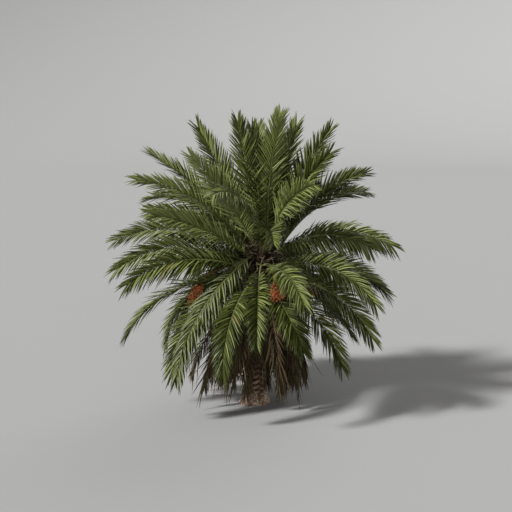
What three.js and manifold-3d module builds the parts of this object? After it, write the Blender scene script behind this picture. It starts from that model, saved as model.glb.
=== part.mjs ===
// Young date palm: a short flared trunk, a globe of feather fronds, a skirt of dead fronds
// hanging round the trunk and bunches of orange fruit below the heart of the crown.
// Millimetres, +Z up. The origin is the middle of the trunk's flat cut at ground level.
import * as THREE from 'three';
import { mergeVertices } from 'three/addons/utils/BufferGeometryUtils.js';
import Module from 'manifold-3d';

const wasm = await Module();
wasm.setup();

// Trunk: root flare at the foot, a straight waist, and the heart dome the fronds grow from
const FOOT_RADIUS = 338;
const WAIST_RADIUS = 215;
const FLARE_HEIGHT = 230;
const HEART_RADIUS = 270;
const HEART_Z = 3250;
const HEART_RISE = 660;
const SWELL_START_Z = 1900;
const LEAN = 190;
const TRUNK_SIDES = 16;
const SCAR_PITCH = 240;
const SCAR_DEPTH = 14;
const SCAR_TOP_Z = 2200;
const LEAN_POWER = 1.2;
const DOME_ANGLES = [0, 15, 30, 45, 60, 75];
const SEAT_GAP = 0.35;

// Green fronds, ring by ring from the heart outward. Each row is one frond:
// azimuth, rise at the base, bend to the tip, twist of the blade (degrees) and rib length
const RINGS = [
  { name: 'spear', z: 3884, base: 40, rows: [
    [185, 88, 6, -60, 2350], [40, 85, 8, 20, 2600]] },
  { name: 'erect', z: 3810, base: 46, rows: [
    [-50, 89, 20, -35, 2760], [-152, 81, 4, 50, 2650], [95, 79, 30, 0, 2650], [33, 78, 12, 40, 2600]] },
  { name: 'high', z: 3725, base: 54, rows: [
    [173, 65, 4, -62, 2850], [8, 67, 12, 50, 2800], [-60, 55, 44, 114, 2450], [-126, 71, 84, -30, 2200],
    [78, 55, 35, 0, 2800]] },
  { name: 'rising', z: 3620, base: 60, rows: [
    [-15, 70, 28, 85, 2500], [-142, 57, 16, 50, 2700], [120, 50, 40, 0, 2800], [25, 49, 40, 40, 2900],
    [164, 47, 18, -20, 3150]] },
  { name: 'mid', z: 3497, base: 64, rows: [
    [-172, 51, 45, -50, 3100], [-86, 37, 60, 0, 2700], [84, 35, 45, 0, 2800], [-138, -27, 52, -30, 3450],
    [149, 44, 62, -30, 3250], [-25, 31, 62, 66, 2400]] },
  { name: 'spread', z: 3365, base: 66, rows: [
    [-151, 34, 23, -60, 2750], [26, 53, 58, 35, 2900], [173, 28, 54, -65, 3250], [-11, 34, 66, 60, 2800],
    [-169, 40, 32, -55, 2500]] },
  { name: 'level', z: 3227, base: 68, rows: [
    [-172, 24, 62, -68, 3150], [-71, 6, 44, 10, 2400], [74, 12, 60, 0, 2800], [124, 10, 60, 0, 2800],
    [-93, 12, 94, 0, 3200], [10, 5, 54, 45, 2820]] },
  { name: 'low', z: 3100, base: 68, rows: [
    [-156, 21, 58, -66, 3050], [-38, 19, 70, 45, 2920], [46, -6, 65, 0, 2800], [150, -16, 58, 0, 2700],
    [98, 2, 60, 0, 2750]] },
  { name: 'fall', z: 2980, base: 66, rows: [
    [-167, 0, 59, 0, 3200], [-32, 0, 61, 45, 2880], [22, -26, 31, 0, 2550], [-111, -8, 84, -10, 3050],
    [172, -10, 76, -20, 2750]] },
  { name: 'hang', z: 2860, base: 62, rows: [
    [-142, -10, 74, -25, 3050], [-45, -15, 54, 15, 2750], [72, -22, 60, 0, 2700], [122, -22, 60, 0, 2700],
    [-67, -21, 24, 10, 2250]] },
];
const BEND_POWER = 1.5;
const TWIST_RATE = 2;
const RIB_STEPS = 24;
const RIB_TIP_WIDTH = 14;
const RIB_TAPER_RATE = 1.15;
const RIB_TAPER_POWER = 0.6;
const RIB_DEPTH_SHARE = 0.5;
const RIB_LEAST_DEPTH = 2.5;
const RIB_SUNK_SHARE = 0.35;

// Leaflets: angle to the rib from base to tip, lift above the blade by turns, sag, and lengths
// that grow from the first leaflet to the longest one and shrink again towards the tip
const BARE_STEPS = 4;
const LEAFLET_LENGTH = 600;
const LEAFLET_DROOP = 0.1;
const LEAFLET_ANGLES = [55, 20];
const LEAFLET_ANGLE_PLAY = 3;
const LEAFLET_LIFTS = [12, 28];
const LEAFLET_LENGTH_PLAY = 0.16;
const FIRST_LEAFLET_SHARE = 0.55;
const LAST_LEAFLET_SHARE = 0.55;
const LONGEST_LEAFLET_AT = 0.28;
const TIP_LEAFLET_SHARE = 0.8;
const SHORTENINGS = [1, 0.85, 0.7, 0.55, 0.42];
const ROOM_SAMPLES = [0.25, 0.45, 0.65, 0.85, 1];
const ROOM_MARGIN = 5;
const RIB_CLEARANCE = 45;

// Dead fronds, three to a clump, hanging from below the green ones. Each clump is one row:
// azimuth, how far it leans out against the rest (degrees) and share of full length
const DEAD_CLUMPS = [
  [-44, -4, 0.96], [10, -6, 0.92], [64, 0, 0.92], [118, 0, 0.92], [172, 8, 1], [-138, 10, 1],
];
const DEAD_HEADINGS = [-21, 0, 21];
const DEAD_SEATS = [-5, 0, 5];
const DEAD_Z = [2560, 2582, 2538];
const DEAD_RISE = [-58, -48, -64];
const DEAD_BEND = [29, 38, 22];
const DEAD_TWIST = [45, -40, 30];
const DEAD_LENGTH = [2360, 2440, 2060];
const DEAD_BASE = 60;
const DEAD_STEPS = 15;
const DEAD_LEAFLET_LENGTH = 430;
const DEAD_DROOP = 0.3;
const DEAD_ANGLES = [46, 20];

// Fruit bunches: azimuth, rise, bend, stalk length and the drop of the strands
const BUNCHES = [
  [-74, 8, 60, 900, 300],
  [-171, 6, 54, 1280, 520],
  [-14, 0, 60, 860, 330],
  [60, 2, 60, 1000, 400],
  [134, 4, 58, 1150, 460],
];
const BUNCH_Z = 3165;
const STALK_WIDTH = 44;
const STALK_TIP_WIDTH = 26;
const STALK_STEPS = 10;
const STALK_POINT = 26;
const STRANDS = 5;
const STRAND_SIDES = 4;
const STRAND_TURN = 2.4;
const STRAND_STEP = 24;
const STRAND_SPREAD = 165;
const STRAND_WIDTH = 14;
const STRAND_FORWARD = 0.35;
const STRAND_DROP = 0.7;
const STRAND_PLAY = 0.35;
const BERRY_STRETCH = 0.62;
const BERRY_WIDEST = 0.45;
const BERRIES_PER_STRAND = 3;
const BERRY_RADIUS = 40;

// Finishes
const BARK = { color: 0x5c4a38, roughness: 0.95, metalness: 0 };
const GREEN_BLADE = { color: 0x5a6332, roughness: 0.6, metalness: 0 };
const DRY_BLADE = { color: 0x4a3d28, roughness: 0.85, metalness: 0 };
const FRUIT_SKIN = { color: 0xa0501e, roughness: 0.5, metalness: 0 };

const Z_AXIS = new THREE.Vector3(0, 0, 1);
const rad = THREE.MathUtils.degToRad;
const clamp01 = (v) => Math.min(1, Math.max(0, v));

function seeded(seed) {
  let state = seed >>> 0;
  return () => {
    state = (state + 0x6d2b79f5) >>> 0;
    let t = Math.imul(state ^ (state >>> 15), state | 1);
    t ^= t + Math.imul(t ^ (t >>> 7), t | 61);
    return ((t ^ (t >>> 14)) >>> 0) / 4294967296;
  };
}

function toSolid(vertices, faces) {
  const geometry = new THREE.BufferGeometry();
  const numbers = vertices.flatMap((v) => v.toArray());
  geometry.setAttribute('position', new THREE.Float32BufferAttribute(numbers, 3));
  geometry.setIndex(faces.flat());
  return solidOf(geometry);
}

function solidOf(geometry) {
  geometry.deleteAttribute('normal');
  geometry.deleteAttribute('uv');
  const welded = mergeVertices(geometry, 1e-3);
  return new wasm.Manifold(new wasm.Mesh({
    numProp: 3,
    vertProperties: new Float32Array(welded.attributes.position.array),
    triVerts: new Uint32Array(welded.index.array),
  }));
}

function toGeometry(solid) {
  const mesh = solid.getMesh();
  const geometry = new THREE.BufferGeometry();
  geometry.setAttribute('position', new THREE.BufferAttribute(mesh.vertProperties, 3));
  geometry.setIndex(new THREE.BufferAttribute(mesh.triVerts, 1));
  geometry.computeVertexNormals();
  return geometry;
}

// Trunk profile: radius and sideways shift at a height
function trunkRadius(z) {
  if (z > HEART_Z) {
    return HEART_RADIUS * Math.sqrt(Math.max(0, 1 - ((z - HEART_Z) / HEART_RISE) ** 2));
  }
  const flare = (FOOT_RADIUS - WAIST_RADIUS) * Math.exp(-z / FLARE_HEIGHT);
  const swell = (HEART_RADIUS - WAIST_RADIUS) * THREE.MathUtils.smoothstep(z, SWELL_START_Z, HEART_Z);
  return WAIST_RADIUS + flare + swell;
}

function trunkShift(z) {
  return LEAN * clamp01(z / HEART_Z) ** LEAN_POWER;
}

function trunkSolid(growth) {
  const profile = [new THREE.Vector2(0, 0), new THREE.Vector2(FOOT_RADIUS + growth, 0)];
  for (let z = SCAR_PITCH; z <= SCAR_TOP_Z; z += SCAR_PITCH) {
    profile.push(new THREE.Vector2(trunkRadius(z) + SCAR_DEPTH / 2 + growth, z));
    profile.push(new THREE.Vector2(trunkRadius(z) - SCAR_DEPTH / 2 + growth, z + SCAR_DEPTH));
  }
  for (let z = SCAR_TOP_Z + 2 * SCAR_PITCH; z < HEART_Z; z += 2 * SCAR_PITCH) {
    profile.push(new THREE.Vector2(trunkRadius(z) + growth, z));
  }
  for (const angle of DOME_ANGLES) {
    const radius = HEART_RADIUS * Math.cos(rad(angle)) + growth;
    profile.push(new THREE.Vector2(radius, HEART_Z + (HEART_RISE + growth) * Math.sin(rad(angle))));
  }
  profile.push(new THREE.Vector2(0, HEART_Z + HEART_RISE + growth));
  const geometry = new THREE.LatheGeometry(profile, TRUNK_SIDES);
  geometry.rotateX(Math.PI / 2);
  const position = geometry.attributes.position;
  for (let i = 0; i < position.count; i += 1) {
    position.setX(i, position.getX(i) + trunkShift(position.getZ(i)));
  }
  return solidOf(geometry);
}

// Rib of a frond: a curve that rises from the heart and bends over, with a frame at each station
function makeRib({
  azimuth, seat = azimuth, rise, bend, twist = 0, length, z, base, tip = RIB_TIP_WIDTH, steps,
}) {
  const heading = new THREE.Vector3(Math.cos(rad(azimuth)), Math.sin(rad(azimuth)), 0);
  const across = new THREE.Vector3(-heading.y, heading.x, 0);
  const slope = (t) => rad(rise - bend * t ** BEND_POWER);
  const direction = (t) => heading.clone().multiplyScalar(Math.cos(slope(t)))
    .addScaledVector(Z_AXIS, Math.sin(slope(t)));
  const reach = trunkRadius(z);
  const outward = new THREE.Vector3(Math.cos(rad(seat)), Math.sin(rad(seat)), 0);
  const point = new THREE.Vector3(trunkShift(z), 0, z).addScaledVector(outward, reach);
  const inward = direction(0).multiplyScalar(-RIB_SUNK_SHARE * reach);
  const stations = [];
  for (let i = 0; i <= steps; i += 1) {
    const t = i / steps;
    const tangent = direction(t);
    const side = across.clone().applyAxisAngle(tangent, rad(twist) * Math.min(1, TWIST_RATE * t));
    const up = tangent.clone().cross(side);
    const half = THREE.MathUtils.lerp(base, tip, Math.min(1, t * RIB_TAPER_RATE) ** RIB_TAPER_POWER) / 2;
    const at = point.clone();
    if (i === 0) {
      at.add(inward);
    }
    stations.push({ at, tangent, side, up, half });
    point.addScaledVector(direction((i + 0.5) / steps), length / steps);
  }
  return stations;
}

function leafletLength(t, longest) {
  if (t < LONGEST_LEAFLET_AT) {
    return longest * THREE.MathUtils.lerp(FIRST_LEAFLET_SHARE, 1, t / LONGEST_LEAFLET_AT);
  }
  const past = (t - LONGEST_LEAFLET_AT) / (1 - LONGEST_LEAFLET_AT);
  return longest * THREE.MathUtils.lerp(1, LAST_LEAFLET_SHARE, past ** BEND_POWER);
}

// Distance from a point to a rib, station to station
const probe = new THREE.Line3();
const foot = new THREE.Vector3();
function distanceToRib(p, stations) {
  let nearest = Infinity;
  for (let i = 1; i < stations.length; i += 1) {
    probe.set(stations[i - 1].at, stations[i].at);
    probe.closestPointToPoint(p, true, foot);
    nearest = Math.min(nearest, foot.distanceToSquared(p));
  }
  return Math.sqrt(nearest);
}

// A leaflet keeps to the space nearer its own rib than any other, clear of trunk, fruit and ground
function hasRoom(root, apex, rootHalf, own, others) {
  for (const share of ROOM_SAMPLES) {
    const p = root.clone().lerp(apex, share);
    const reach = rootHalf * (1 - share) + ROOM_MARGIN;
    if (p.z < reach + ROOM_MARGIN) {
      return false;
    }
    if (Math.hypot(p.x - trunkShift(p.z), p.y) < trunkRadius(p.z) + SCAR_DEPTH + reach) {
      return false;
    }
    if (fruitSpaces.some((space) => distanceToRib(p, space.line) < space.radius + reach)) {
      return false;
    }
    const home = distanceToRib(p, own);
    for (const other of others) {
      if (other.centre.distanceTo(p) > other.reach + home + 2 * reach + RIB_CLEARANCE) {
        continue;
      }
      const away = distanceToRib(p, other.stations);
      if (away < home + 2 * reach || away < RIB_CLEARANCE + reach) {
        return false;
      }
    }
  }
  return true;
}

// Frond: a three-sided rib whose two flanks run out into pointed leaflets
function frondSolid(frond, others) {
  const { stations, longest, angles, droop, bare, random } = frond;
  const vertices = [];
  const faces = [];
  for (const { at, side, up, half } of stations) {
    const depth = half * RIB_DEPTH_SHARE + RIB_LEAST_DEPTH;
    vertices.push(at.clone().addScaledVector(side, half).addScaledVector(up, depth));
    vertices.push(at.clone().addScaledVector(side, -half).addScaledVector(up, depth));
    vertices.push(at.clone().addScaledVector(up, -depth));
  }
  const last = stations.length - 1;
  faces.push([0, 2, 1]);
  for (let i = 0; i < last; i += 1) {
    const [l0, r0, k0, l1, r1, k1] = [3 * i, 3 * i + 1, 3 * i + 2, 3 * i + 3, 3 * i + 4, 3 * i + 5];
    faces.push([l0, r0, r1], [l0, r1, l1]);
    const t = clamp01((i - bare) / (last - bare));
    for (const [hand, ring] of [[1, [l0, l1, k1, k0]], [-1, [r0, k0, k1, r1]]]) {
      const root = new THREE.Vector3();
      ring.forEach((v) => root.addScaledVector(vertices[v], 0.25));
      const { tangent, side, up } = stations[i];
      const play = LEAFLET_ANGLE_PLAY * (random() - 0.5);
      const angle = rad(THREE.MathUtils.lerp(angles[0], angles[1], t) + play);
      const lift = rad(LEAFLET_LIFTS[i % 2]);
      const heading = tangent.clone().multiplyScalar(Math.cos(angle))
        .addScaledVector(side, hand * Math.sin(angle) * Math.cos(lift))
        .addScaledVector(up, Math.sin(angle) * Math.sin(lift));
      const full = leafletLength(t, longest) * (1 + LEAFLET_LENGTH_PLAY * (random() - 0.5));
      const rootHalf = stations[i].at.distanceTo(stations[i + 1].at) / 2;
      const lengths = i < bare ? [] : SHORTENINGS;
      const apexes = lengths.map((share) => root.clone().addScaledVector(heading, full * share)
        .addScaledVector(Z_AXIS, -droop * full * share * share));
      const apex = apexes.find((tip) => hasRoom(root, tip, rootHalf, stations, others));
      if (apex) {
        const a = vertices.push(apex) - 1;
        ring.forEach((v, k) => faces.push([v, ring[(k + 1) % 4], a]));
      } else {
        faces.push([ring[0], ring[1], ring[2]], [ring[0], ring[2], ring[3]]);
      }
    }
  }
  const end = stations[last];
  const tipLength = TIP_LEAFLET_SHARE * leafletLength(1, longest);
  const tip = vertices.push(end.at.clone().addScaledVector(end.tangent, tipLength)) - 1;
  const [l, r, k] = [3 * last, 3 * last + 1, 3 * last + 2];
  faces.push([l, r, tip], [l, tip, k], [r, k, tip]);
  return toSolid(vertices, faces);
}

// Fruit stalk as a rib, and the space its bunch takes up
const bunches = BUNCHES.map(([azimuth, rise, bend, length, drop], index) => {
  const stations = makeRib({
    azimuth, rise, bend, length, z: BUNCH_Z, base: STALK_WIDTH, tip: STALK_TIP_WIDTH, steps: STALK_STEPS });
  const end = stations.at(-1);
  const bottom = end.at.clone().addScaledVector(end.tangent, STRAND_FORWARD * drop)
    .addScaledVector(Z_AXIS, -STRAND_DROP * drop);
  const below = { at: bottom };
  return { stations, end, below, drop, random: seeded(900 + index) };
});
const fruitSpaces = bunches.flatMap(({ stations, end, below }) => [
  { line: stations, radius: STALK_WIDTH },
  { line: [end, below], radius: STRAND_SPREAD + BERRY_RADIUS },
]);

function bunchSolid({ stations, end, below, drop, random }) {
  const stalk = {
    stations, longest: STALK_POINT, angles: LEAFLET_ANGLES, droop: 0, bare: STALK_STEPS, random };
  let solid = frondSolid(stalk, []);
  for (let s = 0; s < STRANDS; s += 1) {
    const turn = s * STRAND_TURN;
    const spread = STRAND_SPREAD * Math.sqrt((s + 0.5) / STRANDS);
    const from = end.at.clone().addScaledVector(end.tangent, -STRAND_STEP * (s + 1));
    const to = below.at.clone()
      .add(new THREE.Vector3(Math.cos(turn) * spread, Math.sin(turn) * spread, 0))
      .addScaledVector(Z_AXIS, STRAND_PLAY * drop * random());
    const length = from.distanceTo(to);
    const profile = [new THREE.Vector2(0, 0), new THREE.Vector2(STRAND_WIDTH / 2, 0)];
    const berryLength = BERRY_STRETCH * length / BERRIES_PER_STRAND;
    for (let b = 0; b < BERRIES_PER_STRAND; b += 1) {
      const start = length - berryLength * (BERRIES_PER_STRAND - b);
      profile.push(new THREE.Vector2(STRAND_WIDTH / 2, start));
      profile.push(new THREE.Vector2(BERRY_RADIUS, start + BERRY_WIDEST * berryLength));
    }
    profile.push(new THREE.Vector2(0, length));
    const strand = new THREE.LatheGeometry(profile, STRAND_SIDES);
    strand.rotateX(Math.PI / 2).rotateZ(Math.PI * random()).lookAt(to.clone().sub(from));
    strand.translate(from.x, from.y, from.z);
    solid = solid.add(solidOf(strand));
  }
  return solid;
}

// All ribs first, so each leaflet can be kept to its own frond's space
const fronds = RINGS.flatMap(({ name, z, base, rows }, ring) => rows.map(
  ([azimuth, rise, bend, twist, length], index) => ({
    node: `frond_${name}_${index + 1}`,
    finish: GREEN_BLADE,
    stations: makeRib({ azimuth, rise, bend, twist, length, z, base, steps: RIB_STEPS }),
    longest: LEAFLET_LENGTH,
    angles: LEAFLET_ANGLES,
    droop: LEAFLET_DROOP,
    bare: BARE_STEPS,
    random: seeded(100 * ring + index + 1),
  })));
const dead = DEAD_CLUMPS.flatMap(([azimuth, lean, grownShare], clump) => DEAD_LENGTH.map((length, k) => ({
  node: `dead_fronds_${clump + 1}`,
  finish: DRY_BLADE,
  stations: makeRib({
    azimuth: azimuth + DEAD_HEADINGS[k], seat: azimuth + DEAD_SEATS[k],
    rise: DEAD_RISE[k] + lean, bend: DEAD_BEND[k], twist: DEAD_TWIST[k],
    length: length * grownShare, z: DEAD_Z[k], base: DEAD_BASE, steps: DEAD_STEPS }),
  longest: DEAD_LEAFLET_LENGTH,
  angles: DEAD_ANGLES,
  droop: DEAD_DROOP,
  bare: BARE_STEPS,
  random: seeded(2000 + 10 * clump + k),
})));
const growth = [...fronds, ...dead];
for (const frond of growth) {
  const box = new THREE.Box3().setFromPoints(frond.stations.map((s) => s.at));
  frond.centre = box.getCenter(new THREE.Vector3());
  frond.reach = box.getSize(new THREE.Vector3()).length() / 2;
}

const group = new THREE.Group();
group.name = 'date_palm';
function addNode(name, solid, finish) {
  const mesh = new THREE.Mesh(toGeometry(solid), new THREE.MeshStandardMaterial(finish));
  mesh.name = name;
  group.add(mesh);
}

addNode('trunk', trunkSolid(0), BARK);
const seat = trunkSolid(SEAT_GAP);
const grown = new Map();
for (const frond of growth) {
  const solid = frondSolid(frond, growth.filter((other) => other !== frond)).subtract(seat);
  const before = grown.get(frond.node);
  grown.set(frond.node, { solid: before ? before.solid.add(solid) : solid, finish: frond.finish });
}
for (const [name, { solid, finish }] of grown) {
  addNode(name, solid, finish);
}
bunches.forEach((bunch, index) => {
  addNode(`fruit_${index + 1}`, bunchSolid(bunch).subtract(seat), FRUIT_SKIN);
});

export default group;
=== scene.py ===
# Young date palm: a ringed trunk on a flared foot, a globe of feather fronds with folded leaflets,
# a skirt of dry fronds and bunches of small orange and red fruit.
import math

import bpy
import numpy as np
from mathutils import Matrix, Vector


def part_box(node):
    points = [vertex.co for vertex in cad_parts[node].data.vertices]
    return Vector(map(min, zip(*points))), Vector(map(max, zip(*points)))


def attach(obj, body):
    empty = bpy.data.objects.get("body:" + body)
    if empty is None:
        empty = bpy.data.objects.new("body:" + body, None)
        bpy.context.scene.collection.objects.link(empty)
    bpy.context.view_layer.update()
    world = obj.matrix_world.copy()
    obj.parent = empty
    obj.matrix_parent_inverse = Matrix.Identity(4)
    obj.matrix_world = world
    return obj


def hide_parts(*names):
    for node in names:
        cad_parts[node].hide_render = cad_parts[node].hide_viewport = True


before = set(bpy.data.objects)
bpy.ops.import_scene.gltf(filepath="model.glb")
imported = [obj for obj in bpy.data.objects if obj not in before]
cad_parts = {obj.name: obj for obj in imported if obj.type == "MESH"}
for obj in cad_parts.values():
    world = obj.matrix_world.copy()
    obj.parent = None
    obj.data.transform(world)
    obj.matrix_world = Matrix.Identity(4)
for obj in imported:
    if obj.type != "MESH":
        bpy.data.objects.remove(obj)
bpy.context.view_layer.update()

# Camera
# The palm is seen from far off and from a little above its top, through a long lens that looks
# slightly down, so that its crown fills the middle of a square picture.
IMAGE_SIDE = 512
FOCAL_PIXELS = 1100
SENSOR_WIDTH = 36.0
LOOK_DOWN = 9.0
CAMERA_PLACE = (0.03, -24.5, 7.28)
FAR_CLIP = 500.0


def placed(name, data):
    """An object of the scene for a camera, lamp or mesh."""
    made = bpy.data.objects.new(name, data)
    bpy.context.scene.collection.objects.link(made)
    return made


camera_data = bpy.data.cameras.new("camera")
camera_data.sensor_width = SENSOR_WIDTH
camera_data.lens = SENSOR_WIDTH * FOCAL_PIXELS / IMAGE_SIDE
camera_data.clip_end = FAR_CLIP
camera = placed("camera", camera_data)
camera.location = CAMERA_PLACE
camera.rotation_euler = (math.radians(90 - LOOK_DOWN), 0, 0)
bpy.context.scene.camera = camera

# Studio
# A pale floor that turns up into a round wall far behind the palm, lit by a broad soft sun from
# the upper left, two weak and softer lamps in front and behind, and an even pale sky.
FLOOR_RADIUS = 70.0
FLOOR_SIDES = 96
COVE_RADIUS = 30.0
COVE_STEPS = 14
# Radii of the rings inside the flat floor, and how far the wall turns up in degrees
FLOOR_RINGS = (0.01, 20.0)
COVE_TURN = 80
FLOOR_COLOUR = (0.44, 0.44, 0.435)
SKY_COLOUR = (1.0, 0.98, 0.94)
SKY_STRENGTH = 0.14
# Lamps: where the light comes from, its strength and its softness in degrees
LAMPS = {
    "sun": ((-0.66, -0.36, 0.66), 3.6, 8.0),
    "front_fill": ((0.15, -0.95, 0.22), 0.55, 40.0),
    "back_fill": ((0.35, 0.75, 0.55), 0.6, 40.0),
}


def mesh_object(name, points, quads=(), triangles=()):
    """A mesh object made from arrays of points, four-cornered faces and three-cornered faces."""
    quads = np.asarray(quads, np.int32).reshape(-1, 4)
    triangles = np.asarray(triangles, np.int32).reshape(-1, 3)
    corners = np.concatenate([quads.ravel(), triangles.ravel()])
    sizes = np.concatenate([np.full(len(quads), 4), np.full(len(triangles), 3)])
    mesh = bpy.data.meshes.new(name)
    mesh.vertices.add(len(points))
    mesh.vertices.foreach_set("co", np.asarray(points, np.float32).ravel())
    mesh.loops.add(len(corners))
    mesh.loops.foreach_set("vertex_index", corners)
    mesh.polygons.add(len(sizes))
    mesh.polygons.foreach_set("loop_start", np.cumsum(sizes) - sizes)
    mesh.update(calc_edges=True)
    return placed(name, mesh)


def grid_faces(rows, columns, first=0):
    """Faces of a tube of rings that each have the same number of columns."""
    row, column = np.meshgrid(np.arange(rows - 1), np.arange(columns), indexing="ij")
    here = first + row * columns + column
    beside = first + row * columns + (column + 1) % columns
    return np.stack([here, beside, beside + columns, here + columns], -1).reshape(-1, 4)


def smooth(piece, angle=None):
    """Smooth shading all over, or only across edges flatter than an angle in degrees."""
    piece.data.shade_smooth()
    if angle is not None:
        piece.data.set_sharp_from_angle(angle=math.radians(angle))


def principled(name, colour, roughness, specular):
    """A material with its own Principled shader, returned with its node tree and shader."""
    made = bpy.data.materials.new(name)
    made.use_nodes = True
    shader = made.node_tree.nodes["Principled BSDF"]
    shader.inputs["Base Color"].default_value = (*colour, 1)
    shader.inputs["Roughness"].default_value = roughness
    shader.inputs["Specular IOR Level"].default_value = specular
    return made, made.node_tree, shader


floor_turns = np.linspace(0, 2 * math.pi, FLOOR_SIDES, endpoint=False)
cove = np.radians(np.linspace(0, COVE_TURN, COVE_STEPS))
cove_radii = np.concatenate([FLOOR_RINGS, FLOOR_RADIUS + COVE_RADIUS * np.sin(cove)])
cove_heights = np.concatenate([np.zeros(len(FLOOR_RINGS)), COVE_RADIUS * (1 - np.cos(cove))])
floor_points = np.stack([
    np.outer(cove_radii, np.cos(floor_turns)),
    np.outer(cove_radii, np.sin(floor_turns)),
    np.repeat(cove_heights[:, None], FLOOR_SIDES, 1)], -1).reshape(-1, 3)
floor = mesh_object("floor", floor_points, grid_faces(len(cove_radii), FLOOR_SIDES)[:, ::-1])
smooth(floor)
floor.data.materials.append(principled("studio_floor", FLOOR_COLOUR, roughness=0.9, specular=0.3)[0])

sky = bpy.data.worlds.new("sky")
sky.use_nodes = True
sky.node_tree.nodes["Background"].inputs["Color"].default_value = (*SKY_COLOUR, 1)
sky.node_tree.nodes["Background"].inputs["Strength"].default_value = SKY_STRENGTH
bpy.context.scene.world = sky
for lamp_name, (came_from, strength, softness) in LAMPS.items():
    lamp_data = bpy.data.lights.new(lamp_name, "SUN")
    lamp_data.energy = strength
    lamp_data.angle = math.radians(softness)
    lamp = placed(lamp_name, lamp_data)
    lamp.rotation_euler = Vector(came_from).to_track_quat("Z", "Y").to_euler()
bpy.context.scene.view_settings.view_transform = "Standard"

# Trunk
# The stem is brown fibrous wood, covered by the low knobs of old leaf bases set in spirals, and
# spreads into a mat of root fibre where it meets the ground. One mesh holds all of its relief.
trunk_low, trunk_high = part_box("trunk")
FOOT_RADIUS = -trunk_low.x
WAIST_RADIUS = 0.215
FLARE_HEIGHT = 0.23
HEART_RADIUS = 0.27
HEART_Z = 3.25
HEART_RISE = trunk_high.z - HEART_Z
SWELL_START_Z = 1.9
LEAN = 0.19
LEAN_POWER = 1.2
TRUNK_ROWS = 280
TRUNK_COLUMNS = 168
DOME_ROWS = 24
DOME_TURN = 88
TRUNK_EDGE = 50
# Waves that roughen the bark: least and most round the stem, steepest climb, number of waves, seed
SCAR_WAVES = ((1, 6), 4.0, 8, 3)
FIBRE_WAVES = ((30, 110), 14.0, 40, 5)
LUMP_WAVES = ((3, 14), 11.0, 20, 7)
# Scars: rows that wind left and right, height of one, how far rows wander in scars, and depth
SCAR_SPIRALS = (3, 5)
SCAR_HEIGHT = 0.125
SCAR_WANDER = 0.16
SCAR_DEPTH = 0.044
# Knobs on the scars: fullness, least height, height at the lower edge, what it loses to the upper edge,
# depth of the grooves between knobs, and two numbers that scatter the heights
KNOB_FULLNESS = 3
KNOB_LEAST = 0.45
KNOB_FOOT = 1.25
KNOB_SLOPE = 0.6
KNOB_GROOVE = 0.35
KNOB_SCATTER = (12.9898, 43758.5453)
# Fibre and lumps: depth on the stem, and how the foot adds to it
FIBRE_DEPTH = 0.003
FIBRE_FOOT_DEPTH = 0.007
LUMP_DEPTH = 0.006
LUMP_FOOT_DEPTH = 0.018
ROOT_HEIGHT = 0.15
# Paleness of the bark: of grooves, and what knobs, high knobs, fibre ridges and the foot add; on knobs and
# ridges it is painted light, leaving the grooves in painted shade
GROOVE_PALE = 0.16
KNOB_PAINTED_LIGHT = 0.372
HIGH_KNOB_PAINTED_LIGHT = 0.31
RIDGE_PAINTED_LIGHT = 0.10
FOOT_PALE = 0.42
# Painted shade of the crown: the bark dims below the heart by a share, then darkens under it: heights and
# amounts
CROWN_SHADE_Z = (2.2, 2.9)
CROWN_SHADE_SHARE = 0.7
HEART_SHADE_Z = (2.9, 3.4)
HEART_SHADE_LOSS = 0.25
BARK_TONES = [(0.030, 0.018, 0.010), (0.120, 0.075, 0.043), (0.320, 0.215, 0.140), (0.600, 0.460, 0.350)]
BARK_PLACES = (0.28, 0.42, 0.57, 0.75)


def smoothstep(value, low, high):
    """A share that eases from 0 at a low value to 1 at a high one."""
    share = np.clip((value - low) / (high - low), 0, 1)
    return share * share * (3 - 2 * share)


def trunk_radius(z):
    """Radius of the stem, or of the heart dome above it, at a height."""
    z = np.asarray(z, float)
    flare = (FOOT_RADIUS - WAIST_RADIUS) * np.exp(-z / FLARE_HEIGHT)
    swell = (HEART_RADIUS - WAIST_RADIUS) * smoothstep(z, SWELL_START_Z, HEART_Z)
    dome = HEART_RADIUS * np.sqrt(np.clip(1 - ((z - HEART_Z) / HEART_RISE) ** 2, 0, 1))
    return np.where(z > HEART_Z, dome, WAIST_RADIUS + flare + swell)


def on_trunk(turn, z, out):
    """Points a distance outside the leaning stem's surface."""
    radius = trunk_radius(z) + out
    shift = LEAN * np.clip(np.asarray(z, float) / HEART_Z, 0, 1) ** LEAN_POWER
    return np.stack([shift + radius * np.cos(turn), radius * np.sin(turn), z + 0 * radius], -1)


def ripple(turn, z, around, climb, count, seed):
    """Fine irregular ridges: a sum of waves that close up round the stem."""
    draws = np.random.default_rng(seed)
    total = np.zeros_like(turn)
    for _ in range(count):
        wave = draws.integers(*around) * turn + draws.uniform(-climb, climb) * z
        total += np.sin(wave + draws.uniform(0, 2 * math.pi))
    return total / math.sqrt(count)


def paint_points(piece, name, values):
    """A number for every point of a mesh, for its material to read."""
    layer = piece.data.attributes.new(name, "FLOAT", "POINT")
    layer.data.foreach_set("value", np.asarray(values, np.float32).ravel())


def add_node(tree, kind, inputs, **options):
    """The outputs of a new node, its options set and its inputs given a value or linked to an output."""
    made = tree.nodes.new(kind)
    for option, value in options.items():
        setattr(made, option, value)
    for label, value in inputs.items():
        if isinstance(value, bpy.types.NodeSocket):
            tree.links.new(value, made.inputs[label])
        else:
            made.inputs[label].default_value = value
    return made.outputs


def new_tree(name, kind, takes, gives):
    """An empty node tree with named inputs and outputs, and the sockets inside at both ends."""
    tree = bpy.data.node_groups.new(name, kind)
    for in_out, sockets in (("INPUT", takes), ("OUTPUT", gives)):
        for label, socket in sockets.items():
            tree.interface.new_socket(name=label, in_out=in_out, socket_type="NodeSocket" + socket)
    return tree, tree.nodes.new("NodeGroupInput").outputs, tree.nodes.new("NodeGroupOutput").inputs


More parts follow.
